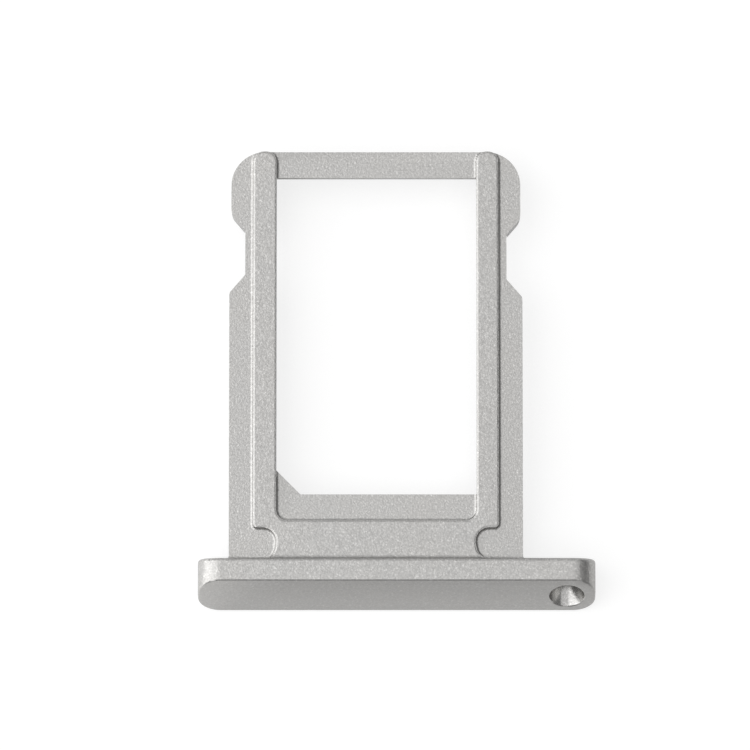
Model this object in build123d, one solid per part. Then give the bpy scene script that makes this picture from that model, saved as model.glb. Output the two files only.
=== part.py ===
from build123d import *
import math
import os

# A card tray machined from one piece of aluminium. All sizes are in millimetres.
# X runs along the faceplate, Y runs from the faceplate to the inner end of the
# frame, and Z points up from the card side to the contact side. It is drawn round
# a point on the back of the faceplate, in the middle of the frame's width and
# thickness, and moved at the end so that the origin lies below the middle of its
# outline, at the height of its lowest line.

# The card that the tray carries
card_length = 12.3
card_width = 8.8
card_thickness = 0.67
card_corner_radius = 1.0
card_corner_cut = 1.65

# The pocket for the card, open downwards
card_clearance = 0.075
card_headroom = 0.03
side_wall = 0.51
inner_end_wall = 0.45
faceplate_side_wall = 1.03

# The web that the card lies against, and the window for its contacts
web_thickness = 0.3
side_ledge = 1.075
inner_end_ledge = 0.44
faceplate_side_ledge = 1.17
window_corner_cut = 0.82
window_shift = 0.02

# The raised rail around the window
rail_width = 0.77
rail_height = 0.2
rail_bar_width = 1.3
rail_foot_radius = 0.1
rail_end_flat = 0.07
rail_outer_corner_radius = 0.15
rail_inner_corner_radius = 0.37
edge_break = 0.05
rail_edge_height = 0.04
rail_edge_slope = 32.0

# The reliefs beside the rail where it meets the faceplate
relief_length = 1.06
relief_radius = 0.47
relief_side_angle = 9.0
relief_shoulder_flat = 0.17

# The outline of the frame
head_relief = 0.065
frame_corner_radius = 1.15
notch_bite = 0.03
notch_inset = 3.525
notch_floor_length = 1.53
notch_stagger = 0.16
notch_flank_angle = 41.0
notch_lead_radius = 0.5
notch_mouth_radius = 0.2
notch_floor_radius = 0.12

# The faceplate, which stands out past the frame above and below by the same step
faceplate_step = 0.32
faceplate_top_depth = 0.767
face_lean_angle = 25.8
face_bulge_radius = 12.0
faceplate_end_radius = 0.78
overhang_plain = 1.05
overhang_ejector = 2.455
back_edge_radius = 0.13
front_edge_radius = 0.07
root_radius = 0.12

# The ejector hole
ejector_hole_diameter = 1.17
ejector_hole_inset = 0.965
ejector_rim_radius = 0.06

# How far a cutting shape runs past the faces that it cuts, and how closely an
# edge has to lie at the place where it is looked for
overrun = 1.0
match = 0.001

# Sizes that follow from the ones above
pocket_length = card_length + 2 * card_clearance
pocket_width = card_width + 2 * card_clearance
pocket_depth = card_thickness + card_headroom
frame_length = faceplate_side_wall + pocket_length + inner_end_wall
frame_width = pocket_width + 2 * side_wall
pocket_centre_y = faceplate_side_wall + pocket_length / 2
window_half_width = pocket_width / 2 - side_ledge
window_near_y = faceplate_side_wall + faceplate_side_ledge
window_far_y = frame_length - inner_end_wall - inner_end_ledge
rail_outer_half_width = window_half_width + rail_width
rail_end_radius = (rail_width - rail_end_flat) / 2
rail_edge_width = rail_edge_height / math.tan(math.radians(rail_edge_slope))
relief_arc_reach = relief_radius / math.tan(math.radians(90 - relief_side_angle) / 2)
relief_bite = rail_outer_corner_radius + relief_shoulder_flat + relief_arc_reach

# Heights of the frame's levels, with the frame in the middle of the faceplate's height
frame_thickness = pocket_depth + web_thickness + rail_height
rail_top_z = frame_thickness / 2
web_top_z = rail_top_z - rail_height
web_bottom_z = web_top_z - web_thickness
frame_bottom_z = web_bottom_z - pocket_depth

# The faceplate's place, height and depth
faceplate_height = frame_thickness + 2 * faceplate_step
faceplate_length = overhang_plain + frame_width + overhang_ejector
faceplate_centre_x = (overhang_ejector - overhang_plain) / 2
faceplate_depth = faceplate_top_depth + faceplate_height * math.tan(math.radians(face_lean_angle))
ejector_hole_x = frame_width / 2 + overhang_ejector - ejector_hole_inset


def filled(corners):
    """A closed outline through corners that each hold x, y and a corner radius."""
    points = [(x, y) for x, y, radius in corners]
    radii = [radius for x, y, radius in corners]
    return make_face(FilletPolyline(*points, radius=radii, close=True))


def prism(outline, bottom, top):
    """Raise a flat outline from one level to another."""
    return extrude(Pos(0, 0, bottom) * outline, amount=top - bottom)


def flare(outline):
    """A flat outline raised past the rail's top and widened on the way, to bevel the edge that it cuts."""
    start = Pos(0, 0, rail_top_z - rail_edge_height) * outline
    return extrude(start, amount=2 * rail_edge_height, taper=rail_edge_slope - 90)


def edges_at(shape, axis, place):
    """The edges whose middle lies at one place along an axis."""
    return shape.edges().filter_by_position(axis, place - match, place + match)


def card_outline():
    """The card's outline, seen from above, with its cut corner at the faceplate's plain end."""
    half_width = card_width / 2
    half_length = card_length / 2
    cut = card_corner_cut
    corners = [
        (half_width, -half_length, card_corner_radius),
        (half_width, half_length, card_corner_radius),
        (-half_width, half_length, card_corner_radius),
        (-half_width, cut - half_length, 0),
        (cut - half_width, -half_length, 0),
    ]
    return filled(corners)


def frame_side(centre_y):
    """One long side of the frame, from the faceplate to the inner end, with its notch."""
    body_half = frame_width / 2
    head_half = body_half - head_relief
    notch_half = pocket_width / 2 - notch_bite
    slope = math.tan(math.radians(notch_flank_angle))
    floor_near = centre_y - notch_floor_length / 2
    floor_far = centre_y + notch_floor_length / 2
    return [
        (body_half, -faceplate_top_depth / 2, 0),
        (body_half, floor_near - (body_half - notch_half) / slope, notch_mouth_radius),
        (notch_half, floor_near, notch_floor_radius),
        (notch_half, floor_far, notch_floor_radius),
        (head_half, floor_far + (head_half - notch_half) / slope, notch_lead_radius),
        (head_half, frame_length, frame_corner_radius),
    ]


def frame_outline():
    """The frame's outline with a notch in each side, one a little nearer the faceplate."""
    notch_centre = frame_length - notch_inset
    right = frame_side(notch_centre - notch_stagger / 2)
    left = frame_side(notch_centre + notch_stagger / 2)
    mirrored = [(-x, y, radius) for x, y, radius in reversed(left)]
    return filled(right + mirrored)


def ejector_hole():
    """The through hole that the ejector pin enters."""
    radius = ejector_hole_diameter / 2
    length = faceplate_depth + 2 * overrun
    middle = Pos(ejector_hole_x, -faceplate_depth / 2, 0)
    return middle * Rot(90, 0, 0) * Cylinder(radius, length)


def faceplate():
    """The round-ended faceplate, with its leaning, slightly bulging front and its ejector hole."""
    section = Plane.XZ * RectangleRounded(faceplate_length, faceplate_height, faceplate_end_radius)
    bar = extrude(Pos(faceplate_centre_x, 0, 0) * section, amount=faceplate_depth + overrun)
    lean = math.radians(face_lean_angle)
    chord = faceplate_height / math.cos(lean)
    inward = math.sqrt(face_bulge_radius**2 - (chord / 2) ** 2)
    axis_y = inward * math.cos(lean) - (faceplate_top_depth + faceplate_depth) / 2
    bulge = Pos(faceplate_centre_x, axis_y, -inward * math.sin(lean)) * Rot(0, 90, 0)
    plate = bar & bulge * Cylinder(face_bulge_radius, faceplate_length + 2 * overrun)
    plate = fillet(edges_at(plate, Axis.Y, 0), back_edge_radius)
    plate = fillet(plate.faces().sort_by(Axis.Y)[0].edges(), front_edge_radius)
    hole = ejector_hole()
    drilled = plate - hole
    return fillet(new_edges(plate, hole, combined=drilled), ejector_rim_radius)


def blank():
    """The faceplate with a plain block for the frame, blended where they meet."""
    block = prism(frame_outline(), frame_bottom_z, rail_top_z)
    block = chamfer(edges_at(block, Axis.Z, frame_bottom_z), edge_break)
    plate = faceplate()
    joined = plate + block
    root = [edge for edge in new_edges(plate, block, combined=joined) if abs(edge.center().Y) < match]
    return fillet(root, root_radius)


def rail_field():
    """The rail's outer outline, filled in, with a relief beside it at the faceplate."""
    half = rail_outer_half_width
    inner = half - relief_bite
    start = -faceplate_top_depth
    spread = (relief_length - start) * math.tan(math.radians(relief_side_angle))
    side = [
        (inner + spread, start, 0),
        (inner, relief_length, relief_radius),
        (half, relief_length, rail_outer_corner_radius),
        (half, frame_length, rail_end_radius),
    ]
    mirrored = [(-x, y, radius) for x, y, radius in reversed(side)]
    return filled(side + mirrored)


def around_rail(near_y):
    """The flat area outside the rail, from one distance behind the faceplate."""
    length = frame_length + overrun - near_y
    return Pos(0, near_y + length / 2) * Rectangle(frame_width + 2 * overrun, length) - rail_field()


def land_cutter():
    """The space around the rail, with the cutter's corner radius at its foot."""
    tool = prism(around_rail(0), web_top_z, rail_top_z + overrun)
    foot = [
        edge
        for edge in edges_at(tool, Axis.Z, web_top_z)
        if abs(edge.center().X) < (frame_width + overrun) / 2 and edge.center().Y < frame_length + overrun / 2
    ]
    return fillet(foot, rail_foot_radius) + flare(around_rail(2 * rail_edge_width))


def recess_outline():
    """The space inside the rail, open at the inner end, where the rail's ends are rounded."""
    half = window_half_width
    wide = frame_width / 2 + overrun
    side = [
        (half, rail_bar_width, rail_inner_corner_radius),
        (half, frame_length, rail_end_radius),
        (wide, frame_length, 0),
        (wide, frame_length + overrun, 0),
    ]
    mirrored = [(-x, y, radius) for x, y, radius in reversed(side)]
    return filled(side + mirrored)


def recess_cutter():
    """The recess inside the rail, with the cutter's corner radius at the foot of its wall."""
    outline = Pos(window_shift, 0) * recess_outline()
    recess = prism(outline, web_top_z, rail_top_z + overrun)
    recess = fillet(recess.faces().sort_by(Axis.Z)[0].edges(), rail_foot_radius)
    return recess + flare(outline)


def window_cutter():
    """The window for the card's contacts, with one corner cut off."""
    half = window_half_width
    cut = window_corner_cut
    corners = [
        (half, window_near_y, 0),
        (half, window_far_y, 0),
        (-half, window_far_y, 0),
        (-half, window_near_y + cut, 0),
        (cut - half, window_near_y, 0),
    ]
    return prism(Pos(window_shift, 0) * filled(corners), frame_bottom_z, rail_top_z)


def card_pocket():
    """The pocket for the card, which is the card's outline grown by the clearance."""
    outline = Pos(0, pocket_centre_y) * offset(card_outline(), amount=card_clearance)
    mouth = Pos(0, 0, frame_bottom_z) * offset(outline, amount=edge_break)
    lead_in = extrude(mouth, amount=edge_break, taper=45)
    return prism(outline, frame_bottom_z - overrun, web_bottom_z) + lead_in


def tray():
    """The whole tray, machined from the blank."""
    body = blank()
    body -= land_cutter()
    body -= recess_cutter()
    body -= window_cutter()
    body -= card_pocket()
    box = body.bounding_box()
    return Pos(-box.center().X, -box.center().Y, -box.min.Z) * body


os.makedirs("parts", exist_ok=True)
sim_tray = tray()
export_step(sim_tray, "parts/sim_tray.step")
print("sim_tray volume", round(sim_tray.volume, 3), "size", sim_tray.bounding_box().size)
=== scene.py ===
import math

import bmesh
import bpy
from mathutils import Euler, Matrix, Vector


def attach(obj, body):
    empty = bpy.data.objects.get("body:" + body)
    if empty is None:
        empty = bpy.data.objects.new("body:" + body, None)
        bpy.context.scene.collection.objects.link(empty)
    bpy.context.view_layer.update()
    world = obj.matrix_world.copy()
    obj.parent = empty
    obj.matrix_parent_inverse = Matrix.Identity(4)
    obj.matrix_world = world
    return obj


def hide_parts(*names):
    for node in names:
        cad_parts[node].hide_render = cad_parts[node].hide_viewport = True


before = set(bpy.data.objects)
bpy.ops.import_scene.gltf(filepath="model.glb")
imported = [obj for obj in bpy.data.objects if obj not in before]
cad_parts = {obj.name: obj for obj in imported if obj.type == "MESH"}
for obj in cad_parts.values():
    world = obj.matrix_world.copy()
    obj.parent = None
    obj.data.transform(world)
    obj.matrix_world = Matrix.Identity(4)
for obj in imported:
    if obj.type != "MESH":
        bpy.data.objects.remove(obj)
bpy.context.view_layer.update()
mm = 0.001


class Signal:
    # a socket that Python's operators turn into Math nodes
    def __init__(self, tree, socket):
        self.tree = tree
        self.socket = socket

    def math(self, operation, first, second):
        return self.tree.node("ShaderNodeMath", {"operation": operation}, {0: first, 1: second})

    def __add__(self, other):
        return self.math("ADD", self, other)

    def __radd__(self, other):
        return self.math("ADD", other, self)

    def __sub__(self, other):
        return self.math("SUBTRACT", self, other)

    def __rsub__(self, other):
        return self.math("SUBTRACT", other, self)

    def __mul__(self, other):
        return self.math("MULTIPLY", self, other)

    def __rmul__(self, other):
        return self.math("MULTIPLY", other, self)

    def largest(self, other):
        return self.math("MAXIMUM", self, other)


class Tree:
    # a node tree whose nodes all come from one method
    def __init__(self, owner):
        owner.use_nodes = True
        self.tree = owner.node_tree
        self.tree.nodes.clear()

    def node(self, kind, settings=None, values=None, output=0):
        made = self.tree.nodes.new(kind)
        for name, value in (settings or {}).items():
            setattr(made, name, value)
        for name, value in (values or {}).items():
            if isinstance(value, Signal):
                self.tree.links.new(value.socket, made.inputs[name])
            else:
                made.inputs[name].default_value = value
        return Signal(self, made.outputs[output]) if made.outputs else made

    def vector(self, operation, first, second):
        return self.node("ShaderNodeVectorMath", {"operation": operation}, {0: first, 1: second})

    def part(self, place, axis):
        return self.node("ShaderNodeSeparateXYZ", {}, {0: place}, output=axis)

    def ramp(self, value, start, end):
        # 0 at the start and 1 at the end
        return self.node("ShaderNodeMapRange", {}, {0: value, 1: start, 2: end})

    def noise(self, place, size, detail=2.0, roughness=0.5):
        values = {"Vector": place, "Scale": 1 / size, "Detail": detail, "Roughness": roughness}
        return self.node("ShaderNodeTexNoise", {"normalize": True}, values)


# the finish of the metal, sizes in metres
finish = {
    "colour": (0.47, 0.4665, 0.460),
    "warmPatch": (0.477, 0.468, 0.454),
    "roughness": 0.35,
    "roughnessSpread": 0.12,
    "grainSize": 0.12 * mm,
    "grainDetail": 3.0,
    "grainCoarseness": 0.65,
    "fineGrainSize": 0.06 * mm,
    "fineGrainDetail": 1.0,
    "fineGrainShare": 0.5,
    "grainHeight": 0.011 * mm,
    "speckle": 0.38,
    "brightSpecks": 1.3,
    "speckFrom": 0.60,
    "patchSize": 1.6 * mm,
    "noiseMiddle": 0.5,
    "holeAxis": (5.7725 * mm, 0, 0.92 * mm),
    "holeWithin": 0.59 * mm,
    "holeBeyond": 0.64 * mm,
    "drilledSmoother": 0.11,
    "frontTop": (-6.91983 * mm, 1.84 * mm),
    "frontLean": math.radians(25.8),
    "frontWithin": 0.01 * mm,
    "frontBeyond": 0.05 * mm,
    "frontCalmer": 0.45,
}


def blastedAluminium(name, look):
    material = bpy.data.materials.new(name)
    tree = Tree(material)
    place = tree.node("ShaderNodeTexCoord", output="Object")
    grain = tree.noise(place, look["grainSize"], look["grainDetail"], look["grainCoarseness"])
    fine = tree.noise(place, look["fineGrainSize"], look["fineGrainDetail"])
    patch = tree.noise(place, look["patchSize"])
    tint = tree.node(
        "ShaderNodeMix",
        {"data_type": "RGBA"},
        {0: patch, 6: (*look["colour"], 1), 7: (*look["warmPatch"], 1)},  # 6 and 7 are its colours
        output=2,
    )
    # the leaning front of the faceplate has a calmer grain than the other faces
    along = tree.part(place, "Y")
    upward = tree.part(place, "Z")
    frontY, frontZ = look["frontTop"]
    behindFront = along - frontY + (frontZ - upward) * math.tan(look["frontLean"])
    onFront = tree.ramp(behindFront, look["frontBeyond"], look["frontWithin"])
    calm = 1 - look["frontCalmer"] * onFront
    specks = (fine - look["speckFrom"]).largest(0) * look["brightSpecks"]
    coarse = grain - look["noiseMiddle"]
    speckle = look["speckle"] * coarse + look["speckle"] * (fine - look["noiseMiddle"])
    level = 1 + calm * (speckle + specks)
    colour = tree.node("ShaderNodeVectorMath", {"operation": "SCALE"}, {0: tint, "Scale": level})
    # the wall of the ejector hole is drilled, so it is smoother than the blasted faces
    fromAxis = tree.vector("SUBTRACT", place, look["holeAxis"])
    across = tree.vector("MULTIPLY", fromAxis, (1, 0, 1))
    distance = tree.node("ShaderNodeVectorMath", {"operation": "LENGTH"}, {0: across}, output=1)
    drilled = tree.ramp(distance, look["holeBeyond"], look["holeWithin"])
    roughness = look["roughness"] + look["roughnessSpread"] * coarse
    roughness = roughness - look["drilledSmoother"] * drilled
    height = (grain + look["fineGrainShare"] * fine) * (1 - drilled) * calm
    bump = tree.node(
        "ShaderNodeBump",
        {},
        {"Strength": 1.0, "Distance": look["grainHeight"], "Height": height},
    )
    surface = tree.node(
        "ShaderNodeBsdfPrincipled",
        {},
        {"Base Color": colour, "Metallic": 1.0, "Roughness": roughness, "Normal": bump},
    )
    tree.node("ShaderNodeOutputMaterial", {}, {"Surface": surface})
    return material


# the tray's own piece: the solid's mesh with its corners shaded round where the metal is round
trayPiece = {
    "mergeDistance": 0.0004 * mm,
    "sharpFrom": math.radians(30),
    "railTop": 1.52 * mm,
    "railTopWithin": 0.001 * mm,
    "railTopSharpFrom": math.radians(12),
    "normalWeight": 50,
}

# the reliefs beside the rail turn back outwards in an arc before they meet the faceplate;
# distances along Y are counted from the faceplate's back
reliefs = {
    "faceplateBack": -6.15283 * mm,
    "startsAt": 0.36 * mm,
    "cuts": (0.36 * mm, 0.31 * mm, 0.26 * mm, 0.21 * mm, 0.16 * mm),
    "cutTolerance": 1e-5 * mm,
    "above": 1.30 * mm,
    "within": 0.01 * mm,
    "right": {"from": 2.4 * mm, "to": 3.05 * mm, "reach": 0.24 * mm},
    "left": {"from": -4.45 * mm, "to": -3.8 * mm, "reach": -0.14 * mm},
}


def turnReliefsBack(shell, look):
    for cut in look["cuts"]:
        parts = shell.verts[:] + shell.edges[:] + shell.faces[:]
        place = Vector((0, look["faceplateBack"] + cut, 0))
        bmesh.ops.bisect_plane(
            shell, geom=parts, dist=look["cutTolerance"], plane_co=place, plane_no=(0, 1, 0)
        )
    for vertex in shell.verts:
        behind = vertex.co.y - look["faceplateBack"]
        if -look["within"] < behind < look["startsAt"] and vertex.co.z > look["above"]:
            share = (1 - behind / look["startsAt"]) ** 2
            for side in (look["right"], look["left"]):
                if side["from"] < vertex.co.x < side["to"]:
                    vertex.co.x += side["reach"] * share


# the bevel along the rail's top is shallower than the solid's, so its lower line is raised a little
railBevel = {"lowerLine": 1.48 * mm, "within": 0.001 * mm, "raise": 0.02 * mm, "beyond": -6.05 * mm}


def easeRailBevel(shell, look):
    for vertex in shell.verts:
        if abs(vertex.co.z - look["lowerLine"]) < look["within"] and vertex.co.y > look["beyond"]:
            vertex.co.z += look["raise"]


def smoothTray(node, look):
    shell = bmesh.new()
    shell.from_mesh(node.data)
    bmesh.ops.remove_doubles(shell, verts=shell.verts, dist=look["mergeDistance"])
    turnReliefsBack(shell, reliefs)
    easeRailBevel(shell, railBevel)
    for face in shell.faces:
        face.smooth = True
    for edge in shell.edges:
        heights = [vertex.co.z - look["railTop"] for vertex in edge.verts]
        onTop = all(abs(height) < look["railTopWithin"] for height in heights)
        sharpFrom = look["railTopSharpFrom"] if onTop else look["sharpFrom"]
        edge.smooth = edge.calc_face_angle(0.0) < sharpFrom
    mesh = bpy.data.meshes.new("trayBody")
    shell.to_mesh(mesh)
    shell.free()
    piece = bpy.data.objects.new("trayBody", mesh)
    bpy.context.collection.objects.link(piece)
    weighting = piece.modifiers.new("faceWeight", "WEIGHTED_NORMAL")
    weighting.mode = "FACE_AREA"
    weighting.weight = look["normalWeight"]
    weighting.keep_sharp = True
    return piece


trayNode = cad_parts["sim_tray"]
tray = smoothTray(trayNode, trayPiece)
tray.data.materials.append(blastedAluminium("blastedAluminium", finish))
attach(tray, "root")
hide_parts("sim_tray")
print("tray made", len(tray.data.polygons), "faces")


# the pale floor: the camera sees it white with a faint shadow. In the metal's reflections it also
# shows a painted glow, painted light to the left of the tray and close in front of it, which no
# lamp gives
floorLook = {
    "size": 3.0,
    "drop": 0.005 * mm,
    "colour": 0.72,
    "seenColour": 0.30,
    "seenGlow": 0.76,
    # the left and front glows are painted light, seen only in the metal's reflections
    "leftPaintedGlow": 0.58,
    "leftFrom": -4 * mm,
    "leftTo": -9 * mm,
    "frontPaintedGlow": 0.20,
    "frontFrom": -10.5 * mm,
    "frontTo": -8 * mm,
}


def makeFloor(look):
    half = look["size"] / 2
    low = -look["drop"]
    corners = [(-half, -half, low), (half, -half, low), (half, half, low), (-half, half, low)]
    mesh = bpy.data.meshes.new("floor")
    mesh.from_pydata(corners, [], [(0, 1, 2, 3)])
    floor = bpy.data.objects.new("floor", mesh)
    bpy.context.collection.objects.link(floor)
    material = bpy.data.materials.new("paleFloor")
    tree = Tree(material)
    camera = tree.node("ShaderNodeLightPath", output="Is Camera Ray")
    glossy = tree.node("ShaderNodeLightPath", output="Is Glossy Ray")
    through = tree.node("ShaderNodeLightPath", output="Is Transmission Ray")
    seen = camera.largest(through)
    colour = look["colour"] - seen * (look["colour"] - look["seenColour"])
    place = tree.node("ShaderNodeTexCoord", output="Object")
    across = tree.part(place, "X")
    along = tree.part(place, "Y")
    # painted glow: two floor patches that light up only in the metal's reflections, a painted
    # reflection of light that no lamp gives
    left = tree.ramp(across, look["leftFrom"], look["leftTo"])
    front = tree.ramp(along, look["frontFrom"], look["frontTo"])
    paintedNearGlow = (left * look["leftPaintedGlow"]).largest(front * look["frontPaintedGlow"])
    glow = (seen * look["seenGlow"]).largest(glossy * paintedNearGlow)
    surface = tree.node(
        "ShaderNodeBsdfPrincipled",
        {},
        {
            "Base Color": colour,
            "Roughness": 1.0,
            "Specular IOR Level": 0.0,
            "Emission Color": glow,
            "Emission Strength": 1.0,
        },
    )
    tree.node("ShaderNodeOutputMaterial", {}, {"Surface": surface})
    mesh.materials.append(material)
    return floor


floor = makeFloor(floorLook)
print("floor made")


# the studio: a dim room with a soft light above, a bright wall on the left and a dimmer one behind
room = {"level": 0.25, "lampDistance": 0.36}
softLights = {
    "topLight": {"tilt": (0, 12), "size": (0.32, 0.50), "level": 0.74},
    "highLeftLight": {"tilt": (0, -31), "size": (0.248, 0.50), "level": 1.62},
    "lowLeftLight": {"tilt": (0, -71), "size": (0.270, 0.50), "level": 1.95},
    "backLight": {"tilt": (-66, 0), "size": (0.44, 0.33), "level": 0.50},
}


def makeRoom(look):
    world = bpy.context.scene.world or bpy.data.worlds.new("room")
    bpy.context.scene.world = world
    tree = Tree(world)
    camera = tree.node("ShaderNodeLightPath", output="Is Camera Ray")
    strength = look["level"] + camera * (1 - look["level"])
    light = tree.node("ShaderNodeBackground", {}, {"Color": (1, 1, 1, 1), "Strength": strength})
    tree.node("ShaderNodeOutputWorld", {}, {"Surface": light})


def makeSoftLight(name, look):
    width, height = look["size"]
    light = bpy.data.lights.new(name, "AREA")
    light.shape = "RECTANGLE"
    light.size = width
    light.size_y = height
    light.energy = look["level"] * math.pi * width * height
    lamp = bpy.data.objects.new(name, light)
    turn = Euler([math.radians(angle) for angle in (*look["tilt"], 0)])
    lamp.rotation_euler = turn
    lamp.location = turn.to_matrix() @ Vector((0, 0, room["lampDistance"]))
    lamp.visible_camera = False
    bpy.context.collection.objects.link(lamp)


makeRoom(room)
for name, look in softLights.items():
    makeSoftLight(name, look)
print("lights made")


# the camera looks almost straight down, from a little in front
view = {
    "target": (-0.7329 * mm, 0.1637 * mm, 1.0 * mm),
    "distance": 0.25,
    "lean": math.radians(7),
    "lens": 352.8,  # this and the sensor in millimetres
    "sensor": 36,
    "near": 0.01,
    "far": 10,
}


def makeCamera(look):
    data = bpy.data.cameras.new("photoCamera")
    data.sensor_width = look["sensor"]
    data.sensor_fit = "HORIZONTAL"
    data.lens = look["lens"]
    data.clip_start = look["near"]
    data.clip_end = look["far"]
    camera = bpy.data.objects.new("photoCamera", data)
    away = Vector((0, -math.sin(look["lean"]), math.cos(look["lean"])))
    camera.location = Vector(look["target"]) + look["distance"] * away
    camera.rotation_euler = (look["lean"], 0, 0)
    bpy.context.collection.objects.link(camera)
    bpy.context.scene.camera = camera


makeCamera(view)
bpy.context.scene.view_settings.view_transform = "Standard"
print("camera made")
